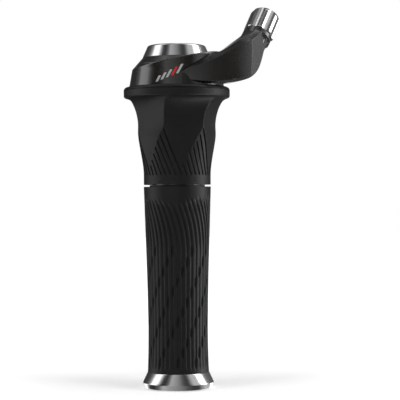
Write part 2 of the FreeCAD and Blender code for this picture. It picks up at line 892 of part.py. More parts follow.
def cover_zone(grow=0.0):
    """The stretch of the housing's face that the cover takes, stepped where the boom starts."""
    low = housing_bottom + cover_rise - grow
    width = cover_end_angle - cover_start_angle + 2 * grow
    zone = sector(housing_neck_radius - 6, housing_skirt_radius + 2, low, bar_end,
                  (cover_start_angle + cover_end_angle) / 2, width)
    size = 2 * housing_skirt_radius
    below = Part.makeBox(2 * size, size, size, Vector(-size, -size, -size))
    below.rotate(Vector(), Vector(0, 1, 0), -cover_slant)
    right = Part.makeBox(size, size, 2 * size, Vector(0, -size, -size))
    step = below.common(right)
    step.translate(Vector(cover_corner_x + grow, 0, twist_top + cover_corner_rise - grow))
    return zone.cut(step)


def cover_skin(play=0.0):
    outside = housing_body()
    inside = housing_body(cover_thickness + play)
    return outside.cut(inside)


def cover_screw_place():
    """The screw goes in square to the wall, where the tube's flange pocket leaves it thick."""
    height = (cavity_top + roof) / 2
    share = (height - housing_bottom) / (shoulder - housing_bottom)
    radius = housing_skirt_radius + (housing_shoulder_radius - housing_skirt_radius) * share
    start = polar(radius, cover_screw_angle, height)
    inward = polar(1.0, cover_screw_angle + 180.0)
    return Placement(start, Rotation(Vector(0, 0, 1), inward))


def housing_cover():
    skin = cover_skin().common(cover_zone())
    roof_zone = disc(cover_shoulder_radius, shoulder - 3, bar_end)
    body = skin.cut(roof_zone).cut(boom_outside(cover_seam))
    return body.cut(placed(screw_hole(cover_screw_length), cover_screw_place()))


def cover_screw():
    return placed(screw(cover_screw_length), cover_screw_place())


def housing():
    recess = cover_skin(cover_seam).common(cover_zone(cover_seam))
    recess = recess.cut(disc(cover_shoulder_radius - cover_seam, shoulder - 3, bar_end))
    body = housing_body().cut(recess)
    body = body.fuse(boom_outside())
    cavity = disc(cavity_radius, housing_bottom - 1, cavity_top)
    cavity = cavity.fuse(disc(tube_flange_radius + snug, cavity_top - 1, roof))
    body = body.cut(cavity).fuse(stop_ribs())
    above_ring = disc(clamp_ring_radius + loose, clamp_bottom, bar_end + slice_margin)
    hole = disc(tube_radius + snug, roof - 1, clamp_bottom + 1)
    body = body.cut(above_ring).cut(hole).cut(tube_screw_holes()).cut(spring_seats())
    body = body.cut(neck_hollows()).cut(boom_bore())
    return body.cut(placed(screw_hole(cover_screw_length), cover_screw_place()))


# Barrel adjuster, in its own frame with Z along its axis

def barrel():
    high = barrel_length
    dome = arc_through(
        (barrel_radius, high - barrel_dome_height),
        (barrel_radius - 0.55, high - barrel_dome_height / 2.4), (barrel_end_radius, high))
    outside = section((0, 0), (barrel_radius - 0.3, 0), (barrel_radius, 0.3), dome, (0, high))
    body = spun(outside)
    offset = barrel_radius + barrel_flute_radius - barrel_flute_depth
    flute = Part.makeCylinder(barrel_flute_radius, high, Vector(offset, 0, 0))
    body = body.cut(ring_of(flute, barrel_flutes, 180.0 / barrel_flutes))
    skirt = Part.makeCylinder(neck_radius + loose, barrel_skirt_depth)
    shank = Part.makeCylinder(
        shank_radius, shank_length, Vector(0, 0, barrel_skirt_depth - shank_length))
    body = body.cut(skirt).fuse(shank)
    socket = Part.makeCylinder(cable_housing_radius, cable_housing_depth,
                               Vector(0, 0, high - cable_housing_depth))
    way = Part.makeCylinder(cable_way_radius, high + shank_length, Vector(0, 0, -shank_length))
    return placed(body.cut(socket).cut(way), barrel_place())


def index_low():
    return barrel_skirt_depth - snug - index_sleeve_length


def index_sleeve():
    """Keyed to the neck under the barrel's floor: it slides with the barrel but can't turn."""
    low = index_low()
    body = Part.makeCylinder(neck_pocket_radius - snug, index_sleeve_length, Vector(0, 0, low))
    reach = neck_pocket_radius + key_reach
    keys = Part.makeBox(2 * reach, key_width, index_sleeve_length - 0.6,
                        Vector(-reach, -key_width / 2, low + 0.3))
    hole = Part.makeCylinder(shank_radius + 0.2, index_sleeve_length, Vector(0, 0, low))
    return placed(body.fuse(keys).removeSplitter().cut(hole), barrel_place())


def adjuster_spring():
    """A coil that lifts the index sleeve off the pocket's floor."""
    room = index_low() - neck_floor()
    pitch = (room - 2 * adjuster_wire_radius - 2 * snug) / adjuster_coils
    radius = (shank_radius + neck_pocket_radius) / 2
    helix = Part.makeHelix(pitch, pitch * adjuster_coils, radius)
    circle = Part.Circle(Vector(radius, 0, 0), Vector(0, 1, 0), adjuster_wire_radius)
    coil = Part.Wire(helix.Edges).makePipeShell([Part.Wire(circle.toShape())], True, True)
    lift = Placement(Vector(0, 0, neck_floor() + adjuster_wire_radius + snug), Rotation())
    return placed(coil, barrel_place().multiply(lift))


def threaded_insert():
    low = insert_low()
    body = Part.makeCylinder(insert_radius, insert_length, Vector(0, 0, low))
    hole = Part.makeCylinder(shank_radius + thread_play, insert_length, Vector(0, 0, low))
    return placed(body.cut(hole), barrel_place())


def all_parts():
    parts = {
        "lock_ring": lock_ring(),
        "lock_bolt": bolt(lock_bolt_place()),
        "grip_core": grip_core(),
        "grip_rubber": grip_rubber(),
        "inner_tube": inner_tube(),
        "tube_screws": tube_screws(),
        "retaining_ring": retaining_ring(),
        "outboard_washer": outboard_washer(),
        "inboard_washer": inboard_washer(),
        "twist_sleeve": twist_sleeve(),
        "twist_rubber": twist_rubber(),
        "cable_drum": cable_drum(),
        "drum_screws": drum_screws(),
        "click_ring": click_ring(),
        "click_spring": click_spring(),
        "housing": housing(),
        "housing_cover": housing_cover(),
        "cover_screw": cover_screw(),
        "clamp_ring": clamp_ring(),
        "clamp_bolt": bolt(clamp_bolt_place()),
        "adjuster_barrel": barrel(),
        "index_sleeve": index_sleeve(),
        "adjuster_spring": adjuster_spring(),
        "threaded_insert": threaded_insert(),
    }
    for index, name in enumerate(row_names):
        parts["balls_" + name] = ball_row(index)
        parts["cage_" + name] = ball_cage(index)
    return parts


def main():
    os.makedirs("parts", exist_ok=True)
    for name, shape in all_parts().items():
        shape.exportStep("parts/" + name + ".step")
        print(name, len(shape.Solids), "solids", round(shape.Volume, 1), "mm3")


main()
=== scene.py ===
import math

import bmesh
import bpy
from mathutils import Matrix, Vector


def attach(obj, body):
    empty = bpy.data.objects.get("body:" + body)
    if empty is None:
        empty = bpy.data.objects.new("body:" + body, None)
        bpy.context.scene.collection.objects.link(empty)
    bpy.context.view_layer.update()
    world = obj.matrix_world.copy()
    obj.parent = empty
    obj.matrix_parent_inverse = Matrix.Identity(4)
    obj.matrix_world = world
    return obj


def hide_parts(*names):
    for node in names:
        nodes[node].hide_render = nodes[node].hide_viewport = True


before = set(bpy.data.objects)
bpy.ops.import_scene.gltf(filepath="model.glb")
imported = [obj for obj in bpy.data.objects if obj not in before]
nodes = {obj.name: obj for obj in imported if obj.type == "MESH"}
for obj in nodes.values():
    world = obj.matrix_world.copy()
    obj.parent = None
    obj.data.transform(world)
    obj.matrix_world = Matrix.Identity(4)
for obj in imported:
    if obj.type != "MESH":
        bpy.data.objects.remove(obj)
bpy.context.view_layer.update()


scene = bpy.context.scene
mm = 0.001


# Camera: level, square to the front, a little to the right of the handlebar
cameraSet = {
    "aim": (11.3 * mm, 0, 93.4 * mm),
    "distance": 730 * mm,
    "width": 200 * mm,      # what the frame shows at the aim
    "roll": 0.35,           # degrees
    "nearest": 10 * mm,     # nothing closer than this is drawn
}

aim = Vector(cameraSet["aim"])
cameraData = bpy.data.cameras.new("camera")
cameraData.angle = 2 * math.atan(cameraSet["width"] / 2 / cameraSet["distance"])
cameraData.clip_start = cameraSet["nearest"]
camera = bpy.data.objects.new("camera", cameraData)
scene.collection.objects.link(camera)
camera.location = aim - Vector((0, cameraSet["distance"], 0))
camera.rotation_euler = (math.pi / 2, math.radians(cameraSet["roll"]), 0)
scene.camera = camera
print("camera set")


# Small helpers for modelling

def clearSelection():
    if bpy.context.object and bpy.context.object.mode != "OBJECT":
        bpy.ops.object.mode_set(mode="OBJECT")
    bpy.ops.object.select_all(action="DESELECT")


def focus(*objects):
    clearSelection()
    for item in objects:
        item.select_set(True)
    bpy.context.view_layer.objects.active = objects[0]


def edit(item):
    focus(item)
    bpy.ops.object.mode_set(mode="EDIT")
    bpy.ops.mesh.select_all(action="DESELECT")


def leave():
    bpy.ops.object.mode_set(mode="OBJECT")


def pick(test, kind="verts"):
    # selects what passes the test in the mesh being edited
    mesh = bpy.context.object.data
    draft = bmesh.from_edit_mesh(mesh)
    for group in (draft.faces, draft.edges, draft.verts):
        for part in group:
            part.select = False
    for part in getattr(draft, kind):
        if test(part):
            part.select_set(True)
    bmesh.update_edit_mesh(mesh, loop_triangles=False, destructive=False)


def applyAll(item):
    focus(item)
    for modifier in list(item.modifiers):
        bpy.ops.object.modifier_apply(modifier=modifier.name)


def settle(item):
    focus(item)
    bpy.ops.object.transform_apply(location=True, rotation=True, scale=True)


def smooth(item, degrees=35):
    focus(item)
    bpy.ops.object.shade_smooth_by_angle(angle=math.radians(degrees))


def ease(value):
    value = min(1.0, max(0.0, value))
    return value * value * (3 - 2 * value)


# Rubber of the fixed grip: one flat strip, copied for each rib, bent round the bar
gripSet = {
    "ribs": 40,
    "columns": 12,
    "rows": 124,
    "bottom": 7.9,
    "top": 100.1,
    "inside": 12.75,
    "collarInside": 13.85,
    "flatRadius": 15.4,
    "profile": [(7.9, 15.25), (14, 15.07), (20, 14.95), (29.9, 14.9), (40, 15.02), (50, 15.2),
                (57.9, 15.4), (65, 15.62), (72, 15.85), (80, 16.12), (90, 16.44), (100.1, 16.75)],
    "ribHeight": 0.62,
    "fineHeight": 0.30,
    "bendStart": 69.0,      # below it the ribs run straight along the bar
    "bendEnd": 97.0,
    "swing": 26.0,          # degrees round the bar
    "pitDepth": 0.55,
    "pitLength": 6.6,
    "pitSpacing": 20.0,
    "pitStep": 5.0,
    "pitTop": 72.0,
    "pitRows": 4,
    "pitFirst": 5.2,        # height of the lowest pit over the grip's end
    "pitFootGap": 4.0,
    "pitLean": 0.13,
    "pitWidth": 0.40,       # half a pit, as a share of the ribs' pitch
    "pitRound": 0.55,
    "ribTop": 95.6,         # where the ribs end, with a wave and some unevenness round the bar
    "ribTopWave": 1.5,
    "ribTopTurn": 1.75,
    "ribTopUneven": 0.3,
    "unevenStep": 2.1,
    "openRun": 5.5,
    "ribFoot": 9.8,
    "footRun": 1.4,
    "coarseStart": 66.0,    # above it the fine ribs grow coarse
    "coarseRun": 10.0,
    "crestShare": 0.30,
    "fineCrest": 0.12,
    "grooveShare": 0.86,
    "fineGroove": 0.10,
    "swingPower": 1.9,
    "seam": 0.02,           # share of a rib at each side that follows its neighbour
    "weld": 0.02,
    "bentWeld": 0.03,
    "endRounds": (0.15, 0.35),
    "smooth": 50,
}


def ribStart(index):
    s = gripSet
    turn = 2 * math.pi * index / s["ribs"]
    wave = s["ribTopWave"] * math.cos(2 * (turn - s["ribTopTurn"]))
    return s["ribTop"] + wave + s["ribTopUneven"] * math.cos(index * s["unevenStep"])


def gripRadius(height):
    # a smooth curve through the profile's points
    points = gripSet["profile"]
    for k in range(len(points) - 1):
        (a, x), (b, y) = points[k], points[k + 1]
        if height <= b or k == len(points) - 2:
            before = points[max(0, k - 1)]
            after = points[min(len(points) - 1, k + 2)]
            slopeA = (y - before[1]) / (b - before[0])
            slopeB = (after[1] - x) / (after[0] - a)
            t = (height - a) / (b - a)
            h = b - a
            return (x * (1 + 2 * t) * (1 - t) ** 2 + slopeA * h * t * (1 - t) ** 2
                    + y * t * t * (3 - 2 * t) - slopeB * h * t * t * (1 - t))


def gripSwing(height):
    share = (height - gripSet["bendStart"]) / (gripSet["bendEnd"] - gripSet["bendStart"])
    return -gripSet["swing"] * max(0.0, share) ** gripSet["swingPower"]


def ribShare(across, height, index):
    # how deep a point is pressed in, from 0 on a rib's crest to 1 in a full groove
    s = gripSet
    side = abs(across - 0.5) * 2
    coarse = ease((height - s["coarseStart"]) / s["coarseRun"])
    foot = ease((height - s["ribFoot"]) / s["footRun"])
    inner = s["crestShare"] + s["fineCrest"] * (1 - coarse)
    outer = s["grooveShare"] - s["fineGroove"] * (1 - coarse)
    crest = 1 - ease((side - inner) / (outer - inner))
    depth = s["fineHeight"] + (s["ribHeight"] - s["fineHeight"]) * coarse
    openEnd = ease((ribStart(index) - height) / s["openRun"])
    return (1 - crest) * depth * foot * openEnd / s["ribHeight"]


def pitShare(across, height, index):
    # long lens shaped hollows on the groove line, one row higher on each rib to the right
    s = gripSet
    side = across - round(across)
    first = s["bottom"] + s["pitFirst"] + (index * s["pitStep"]) % s["pitSpacing"]
    best = 0.0
    for row in range(s["pitRows"]):
        middle = first + row * s["pitSpacing"]
        if middle > s["pitTop"] or middle < s["bottom"] + s["pitFootGap"]:
            continue
        along = (height - middle) / (s["pitLength"] / 2)
        lean = side - s["pitLean"] * along
        reach = math.sqrt((lean / s["pitWidth"]) ** 2 + along * along)
        best = max(best, ease((1 - reach) / s["pitRound"]))
    return best


def makeGrip():
    s = gripSet
    pitch = 2 * math.pi * s["flatRadius"] / s["ribs"]
    length = s["top"] - s["bottom"]
    clearSelection()
    bpy.ops.mesh.primitive_grid_add(
        x_subdivisions=s["columns"], y_subdivisions=s["rows"], size=1,
        location=(0, 0, (s["bottom"] + s["top"]) / 2 * mm), rotation=(math.pi / 2, 0, 0))
    strip = bpy.context.object
    strip.scale = (pitch * mm, length * mm, 1)
    settle(strip)

    # lean the upper end and follow the grip's outline, row by row
    edit(strip)
    step = length / s["rows"]
    for row in range(s["rows"] + 1):
        height = s["bottom"] + row * step
        pick(lambda v: abs(v.co.z - height * mm) < step * mm / 4)
        along = math.radians(gripSwing(height)) * s["flatRadius"]
        proud = gripRadius(height) - s["flatRadius"]
        bpy.ops.transform.translate(value=(along * mm, -proud * mm, 0))
    leave()

    copies = []
    for index in range(s["ribs"]):
        focus(strip)
        bpy.ops.object.duplicate()
        rib = bpy.context.object
        grooves = rib.vertex_groups.new(name="grooves")
        pits = rib.vertex_groups.new(name="pits")
        for v in rib.data.vertices:
            height = v.co.z / mm
            lean = math.radians(gripSwing(height)) * s["flatRadius"]
            across = (v.co.x / mm - lean) / pitch + 0.5
            owner = index if across < 0.5 else index + 1
            start = ribShare(across, height, index)
            if across < s["seam"] or across > 1 - s["seam"]:
                start = ribShare(across, height, owner)
            grooves.add([v.index], start, "REPLACE")
            pits.add([v.index], pitShare(across, height, owner), "REPLACE")
        for name, depth in (("grooves", s["ribHeight"]), ("pits", s["pitDepth"])):
            press = rib.modifiers.new(name, "DISPLACE")
            press.direction = "Y"
            press.mid_level = 0
            press.strength = depth * mm
            press.vertex_group = name
        applyAll(rib)
        rib.vertex_groups.clear()
        rib.location.x = (index - (s["ribs"] - 1) / 2) * pitch * mm
        settle(rib)
        copies.append(rib)
    bpy.data.objects.remove(strip)
    focus(*copies)
    bpy.ops.object.join()
    grip = bpy.context.object
    grip.name = "gripSleeve"
    edit(grip)
    bpy.ops.mesh.select_all(action="SELECT")
    bpy.ops.mesh.remove_doubles(threshold=s["weld"] * mm)
    leave()

    # bend the flat plate once round and bring it onto the bar's axis
    across = [v.co.x for v in grip.data.vertices]
    bend = grip.modifiers.new("bend", "SIMPLE_DEFORM")
    bend.deform_method = "BEND"
    bend.deform_axis = "Z"
    bend.angle = 2 * math.pi * (max(across) - min(across)) / (pitch * s["ribs"] * mm)
    applyAll(grip)
    grip.location.y = -s["flatRadius"] * mm
    settle(grip)
    edit(grip)
    bpy.ops.mesh.select_all(action="SELECT")
    bpy.ops.mesh.remove_doubles(threshold=s["bentWeld"] * mm)

    # round both ends and close the inside
    for end, inside in ((s["bottom"] * mm, s["inside"]), (s["top"] * mm, s["collarInside"])):
        pick(lambda e: e.is_boundary and abs(e.verts[0].co.z - end) < s["weld"] * mm, "edges")
        radius = gripRadius(end / mm)
        for drop in s["endRounds"]:
            bpy.ops.mesh.extrude_region_move()
            inner = (radius - drop) / radius
            bpy.ops.transform.resize(value=(inner, inner, 1), center_override=(0, 0, end))
            radius -= drop
        bpy.ops.mesh.extrude_region_move()
        inner = inside / radius
        bpy.ops.transform.resize(value=(inner, inner, 1), center_override=(0, 0, end))
    pick(lambda e: e.is_boundary, "edges")
    bpy.ops.mesh.bridge_edge_loops()
    bpy.ops.mesh.select_all(action="SELECT")
    bpy.ops.mesh.normals_make_consistent(inside=False)
    leave()
    smooth(grip, s["smooth"])
    return grip


grip = makeGrip()
print("grip modelled", len(grip.data.polygons), "faces")


# Polished ring at the bar's end: a straight cone with a small round over its foot
ringSet = {
    "outline": [(15.55, 0.0), (15.95, 0.10), (17.25, 1.75), (17.52, 2.20), (17.62, 2.60), (17.55, 3.00),
                (17.40, 3.35), (15.40, 7.62), (15.20, 7.85), (14.95, 7.90)],
    "inside": 12.75,
    "height": 7.9,
    "slit": 1.2,
    "slitMiddle": 15.0,
    "slitHeight": 4.0,
    "slitReach": 12.0,
    "boltPlace": 15.3,
    "boltHeight": 3.6,
    "holes": [(1.6, -9.0, 9.0), (2.45, 1.9, 15.0)],     # radius, start and end of shank and head
    "holeSides": 48,
    "around": 192,
    "smooth": 20,
}


def makeRing():
    s = ringSet
    clearSelection()
    radius, height = s["outline"][0]
    bpy.ops.mesh.primitive_circle_add(vertices=s["around"], radius=radius * mm, location=(0, 0, 0))
    ring = bpy.context.object
    ring.name = "lockRingPolished"
    edit(ring)
    bpy.ops.mesh.select_all(action="SELECT")
    path = s["outline"][1:] + [(s["inside"], s["height"]), (s["inside"], 0.0)]
    for wide, high in path:
        bpy.ops.mesh.extrude_region_move()
        share = wide / radius
        bpy.ops.transform.resize(value=(share, share, 1), center_override=(0, 0, height * mm))
        bpy.ops.transform.translate(value=(0, 0, (high - height) * mm))
        radius, height = wide, high
    pick(lambda e: e.is_boundary, "edges")
    bpy.ops.mesh.bridge_edge_loops()
    bpy.ops.mesh.select_all(action="SELECT")
    bpy.ops.mesh.normals_make_consistent(inside=False)
    leave()

    # slit at the back, and the pinch bolt's holes across it
    cutters = []
    clearSelection()
    bpy.ops.mesh.primitive_cube_add(size=1, location=(0, s["slitMiddle"] * mm, s["slitHeight"] * mm))
    cutters.append(bpy.context.object)
    cutters[0].scale = (s["slit"] * mm, s["slitReach"] * mm, s["slitReach"] * mm)
    for hole, start, end in s["holes"]:
        clearSelection()
        bpy.ops.mesh.primitive_cylinder_add(
            vertices=s["holeSides"], radius=hole * mm, depth=(end - start) * mm,
            rotation=(0, math.pi / 2, 0),
            location=((start + end) / 2 * mm, s["boltPlace"] * mm, s["boltHeight"] * mm))
        cutters.append(bpy.context.object)
    for cutter in cutters:
        cut = ring.modifiers.new("cut", "BOOLEAN")
        cut.object = cutter
        cut.operation = "DIFFERENCE"
        cut.solver = "EXACT"
    applyAll(ring)
    for cutter in cutters:
        bpy.data.objects.remove(cutter)
    smooth(ring, s["smooth"])
    return ring


ring = makeRing()
print("polished ring turned", len(ring.data.polygons), "faces")


# Skin of the twist grip: the hollows reach higher and the lip is lower, as in the photograph
twistSet = {
    "bottom": 101.1,
    "top": 149.7,
    "lifts": [0, 0, 0, 0, 0, 0, 0, 0, 0.9, 2.4, 3.3, 1.5, 0],   # mm, evenly spaced up the grip
    "flangeSeat": 145.2,
    "inside": 15.6,
    "low": 127.0,           # the stretch that is cut finer and pulled up
    "high": 147.5,
    "finest": 1.2,          # longest edge that is left whole
    "cuts": 3,
    "weld": 0.002,
    "near": 0.05,
    "cageWidth": 60.0,
    "sharp": 24.0,          # degrees from which an edge gets a small round
    "round": 0.16,
    "ribFoot": 104.5,
    "lipFoot": 142.5,
    "smooth": 26,
}


def makeTwistSkin():
    s = twistSet
    skin = bpy.data.objects.new("twistSkin", nodes["twist_rubber"].data.copy())
    scene.collection.objects.link(skin)
    edit(skin)
    bpy.ops.mesh.select_all(action="SELECT")
    bpy.ops.mesh.remove_doubles(threshold=s["weld"] * mm)
    for _ in range(s["cuts"]):
        pick(lambda e: e.calc_length() > s["finest"] * mm
             and max(v.co.z for v in e.verts) > s["low"] * mm
             and min(v.co.z for v in e.verts) < s["high"] * mm, "edges")
        bpy.ops.mesh.subdivide(number_cuts=1)
    leave()
    outer = skin.vertex_groups.new(name="outer")
    for v in skin.data.vertices:
        radius = math.hypot(v.co.x, v.co.y)
        seat = abs(v.co.z - s["flangeSeat"] * mm) < s["near"] * mm
        if radius > s["inside"] * mm and not seat and v.co.z < s["high"] * mm:
            outer.add([v.index], 1.0, "REPLACE")
    clearSelection()
    bpy.ops.object.add(type="LATTICE", location=(0, 0, (s["bottom"] + s["top"]) / 2 * mm))
    cage = bpy.context.object
    tall = (s["top"] - s["bottom"]) * mm
    cage.scale = (s["cageWidth"] * mm, s["cageWidth"] * mm, tall)
    cage.data.points_u = cage.data.points_v = 2
    cage.data.points_w = len(s["lifts"])
    for index, point in enumerate(cage.data.points):
        point.co_deform.z += s["lifts"][index // 4] * mm / tall     # four points on each level
    press = skin.modifiers.new("cage", "LATTICE")
    press.object = cage
    press.vertex_group = "outer"
    applyAll(skin)
    bpy.data.objects.remove(cage)
    skin.vertex_groups.clear()

    # the crests, the rims of the hollows and the ribs are moulded with small rounds
    edit(skin)
    pick(lambda e: e.is_manifold and e.calc_face_angle(0) > math.radians(s["sharp"])
         and s["ribFoot"] * mm < min(v.co.z for v in e.verts)
         and max(v.co.z for v in e.verts) < s["lipFoot"] * mm
         and min(math.hypot(v.co.x, v.co.y) for v in e.verts) > s["inside"] * mm, "edges")
    bpy.ops.mesh.bevel(offset=s["round"] * mm, segments=2, clamp_overlap=True)
    leave()
    smooth(skin, s["smooth"])
    weight = skin.modifiers.new("weight", "WEIGHTED_NORMAL")
    weight.keep_sharp = True
    applyAll(skin)
    return skin


twistSkin = makeTwistSkin()
print("twist grip skin shaped", len(twistSkin.data.polygons), "faces")


# Accent bars printed on the cover: a plain slanted row, one of them red
accentSet = {
    "bars": [(-9.4, 3.0), (-6.9, 3.4), (-4.4, 3.8), (-1.9, 4.2), (0.6, 4.6)],   # place across, height
    "red": 3,
    "rise": 0.47,           # the row climbs with the housing's slope
    "foot": 156.9,
    "width": 1.15,
    "slant": 0.55,
    "skin": 0.10,
    "off": 0.02,            # gap to the cover before the skin gets its thickness
    "front": -30.0,         # where a bar is drawn before it is laid on the cover
    "columns": 4,
    "rows": 10,
    "near": 0.02,
    "smooth": 40,
}


def makeBar(across, tall):
    s = accentSet
    clearSelection()
    bpy.ops.mesh.primitive_grid_add(
        x_subdivisions=s["columns"], y_subdivisions=s["rows"], size=1, rotation=(math.pi / 2, 0, 0),
        location=(across * mm, s["front"] * mm, (s["foot"] + s["rise"] * across) * mm))
    bar = bpy.context.object
    bar.scale = (s["width"] * mm, tall * mm, 1)
    settle(bar)
    edit(bar)
    foot = min(v.co.z for v in bar.data.vertices)
    for row in range(s["rows"] + 1):
        along = tall * mm * row / s["rows"]
        pick(lambda v: abs(v.co.z - foot - along) < s["near"] * mm)
        bpy.ops.transform.translate(value=(s["slant"] * along, 0, 0))
    leave()
    wrap = bar.modifiers.new("wrap", "SHRINKWRAP")
    wrap.target = nodes["housing_cover"]
    wrap.wrap_method = "PROJECT"
    wrap.use_project_y = True
    wrap.use_negative_direction = True
    wrap.use_positive_direction = True
    wrap.cull_face = "BACK"
    wrap.offset = s["off"] * mm
    skin = bar.modifiers.new("skin", "SOLIDIFY")
    skin.thickness = s["skin"] * mm
    skin.offset = 0
    applyAll(bar)
    smooth(bar, s["smooth"])
    return bar


bars = [makeBar(*bar) for bar in accentSet["bars"]]
redBar = bars.pop(accentSet["red"])
redBar.name = "accentBarRed"
focus(*bars)
bpy.ops.object.join()
greyBars = bpy.context.object
greyBars.name = "accentBarsGrey"
print("accent bars made")


# Materials: a socket wrapper, and one method for every other node

class Wire:
    def __init__(self, tree, socket):
        self.tree = tree
        self.socket = socket

    def sum(self, operation, *values):
        node = self.tree.nodes.new("ShaderNodeMath")
        node.operation = operation
        for slot, value in zip(node.inputs, values):
            if isinstance(value, Wire):
                self.tree.links.new(value.socket, slot)
            else:
                slot.default_value = value
        return Wire(self.tree, node.outputs[0])

    def __add__(self, other):
        return self.sum("ADD", self, other)

    def __radd__(self, other):
        return self.sum("ADD", other, self)

    def __rsub__(self, other):
        return self.sum("SUBTRACT", other, self)

    def __mul__(self, other):
        return self.sum("MULTIPLY", self, other)

    def __rmul__(self, other):
        return self.sum("MULTIPLY", other, self)

    def __truediv__(self, other):
        return self.sum("DIVIDE", self, other)


class Finish:
    def __init__(self, name, **base):
        self.material = bpy.data.materials.new(name)
        self.material.use_nodes = True
        self.tree = self.material.node_tree
        self.shader = self.tree.nodes["Principled BSDF"]
        for key, value in base.items():
            self.set(key, value)
        self.place = self.node("ShaderNodeTexCoord").output("Object")

    def set(self, key, value):
        socket = self.shader.inputs[key.replace("_", " ")]
        if isinstance(value, Wire):
            self.tree.links.new(value.socket, socket)
        elif isinstance(value, tuple):
            socket.default_value = (*value, 1)[:len(socket.default_value)]
        else:
            socket.default_value = value

    def node(self, kind, settings=None, **values):
        # settings come first, and i6=... means the socket with number 6
        node = self.tree.nodes.new(kind)
        for key, value in (settings or {}).items():
            setattr(node, key, value)
        for key, value in values.items():
            numbered = key[0] == "i" and key[1:].isdigit()
            slot = node.inputs[int(key[1:]) if numbered else key.replace("_", " ")]
            if isinstance(value, Wire):
                self.tree.links.new(value.socket, slot)
            else:
                slot.default_value = value
        self.last = node
        return self

    def output(self, name=0):
        return Wire(self.tree, self.last.outputs[name])

    def noise(self, scale, detail, stretch=(1, 1, 1)):
        spread = self.node("ShaderNodeMapping", Vector=self.place, Scale=stretch).output()
        return self.node("ShaderNodeTexNoise", Vector=spread, Scale=scale, Detail=detail).output("Fac")

    def mix(self, share, first, second):
        return self.node("ShaderNodeMix", {"data_type": "RGBA"}, i0=share, i6=(*first, 1),
                         i7=(*second, 1)).output(2)

    def bump(self, height, depth, soften=0.0):
        # with soften, edges catch the light as if they were rounded
        more = {}
        if soften:
            more["Normal"] = self.node("ShaderNodeBevel", {"samples": 6}, Radius=soften).output("Normal")
        self.set("Normal", self.node("ShaderNodeBump", Distance=depth, Height=height,
                                     **more).output("Normal"))


def paint(finish, *names):
    for name in names:
        item = nodes[name] if name in nodes else bpy.data.objects[name]
        item.data.materials.clear()
        item.data.materials.append(finish.material)


rubberSet = {
    "dark": (0.0045, 0.0045, 0.0047),
    "light": (0.0095, 0.0095, 0.0098),
    "roughness": (0.40, 0.52),
    "specular": 0.36,
    "blotch": (90, 4),      # scale and detail of a noise, here and below
    "grain": (1500, 2),
    "dust": (2600, 2),
    "first": 0.7,           # share of the first noise where two are mixed
    "kinds": [
        # name, stretch of the grain, its depth and the softness of edges in mm, piece
        ("gripRubber", 0.25, 0.05, 0.0, "gripSleeve"),
        ("twistRubber", 0.12, 0.07, 0.45, "twistSkin"),
    ],
}


def makeRubber(name, stretch, depth, soften):
    s = rubberSet
    rubber = Finish(name, Specular_IOR_Level=s["specular"])
    first, second = s["first"], 1 - s["first"]
    blotch = rubber.noise(*s["blotch"])
    grain = rubber.noise(*s["grain"], (1, 1, stretch))
    dust = rubber.noise(*s["dust"])
    rubber.set("Base Color", rubber.mix(blotch * first + grain * second, s["dark"], s["light"]))
    low, high = s["roughness"]
    rubber.set("Roughness", low + (high - low) * (blotch * 0.5 + dust * 0.5))
    rubber.bump(grain * first + dust * second, depth * mm, soften * mm)
    return rubber


for name, stretch, depth, soften, piece in rubberSet["kinds"]:
    paint(makeRubber(name, stretch, depth, soften), piece)


glossSet = {
    "body": (0.0040, 0.0037, 0.0034),
    "warm": (0.0090, 0.0080, 0.0068),
    "specular": 0.85,
    "coat": 0.9,
    "coatRoughness": 0.10,
    "edgeRound": 0.4,
    "ripple": 0.012,
    "uneven": 0.08,
    "cloud": (60, 4),
    "flow": (400, 3, (1, 1, 0.3)),
    "kinds": [("housingGloss", 0.24, "housing"), ("coverGloss", 0.16, "housing_cover")],
}


def makeGloss(name, roughness):
    s = glossSet
    gloss = Finish(name, Specular_IOR_Level=s["specular"], Coat_Weight=s["coat"],
                   Coat_Roughness=s["coatRoughness"])
    cloud = gloss.noise(*s["cloud"])
    flow = gloss.noise(*s["flow"])
    gloss.set("Base Color", gloss.mix(cloud, s["body"], s["warm"]))
    gloss.set("Roughness", roughness + s["uneven"] * flow)
    gloss.bump(flow, s["ripple"] * mm, s["edgeRound"] * mm)
    return gloss


for name, roughness, piece in glossSet["kinds"]:
    paint(makeGloss(name, roughness), piece)


metalSet = {
    "cloud": (140, 4),
    "turnedDetail": 2,
    "cloudUneven": 0.06,
    "turnedUneven": 0.05,
    "depth": 0.003,
    "turned": (0.05, 0.05, 1),      # lines that run round the bar
    "plain": (1, 1, 1),
    "kinds": [
        # name, bright, dull, roughness, grain, scale of the grain, pieces
        ("polishedRing", (0.86, 0.86, 0.87), (0.70, 0.70, 0.72), 0.09, "turned", 3000,
         ["lockRingPolished", "clamp_ring"]),
        ("adjusterMetal", (0.84, 0.84, 0.85), (0.66, 0.66, 0.68), 0.13, "plain", 900,
         ["adjuster_barrel"]),
        ("tubeMetal", (0.62, 0.62, 0.63), (0.50, 0.50, 0.52), 0.28, "turned", 3000, ["inner_tube"]),
        ("bearingSteel", (0.72, 0.72, 0.73), (0.62, 0.62, 0.64), 0.12, "plain", 1500,
         ["balls_outboard", "balls_middle", "balls_inboard"]),
        ("springSteel", (0.58, 0.58, 0.60), (0.40, 0.40, 0.42), 0.25, "plain", 1500,
         ["retaining_ring", "click_spring", "adjuster_spring"]),
        ("screwSteel", (0.45, 0.45, 0.46), (0.32, 0.32, 0.33), 0.30, "plain", 1500,
         ["tube_screws", "drum_screws", "cover_screw"]),
        ("boltSteel", (0.24, 0.24, 0.25), (0.14, 0.14, 0.15), 0.32, "plain", 1500,
         ["lock_bolt", "clamp_bolt"]),
        ("insertBrass", (0.72, 0.53, 0.24), (0.55, 0.38, 0.16), 0.24, "plain", 900,
         ["threaded_insert"]),
    ],
}


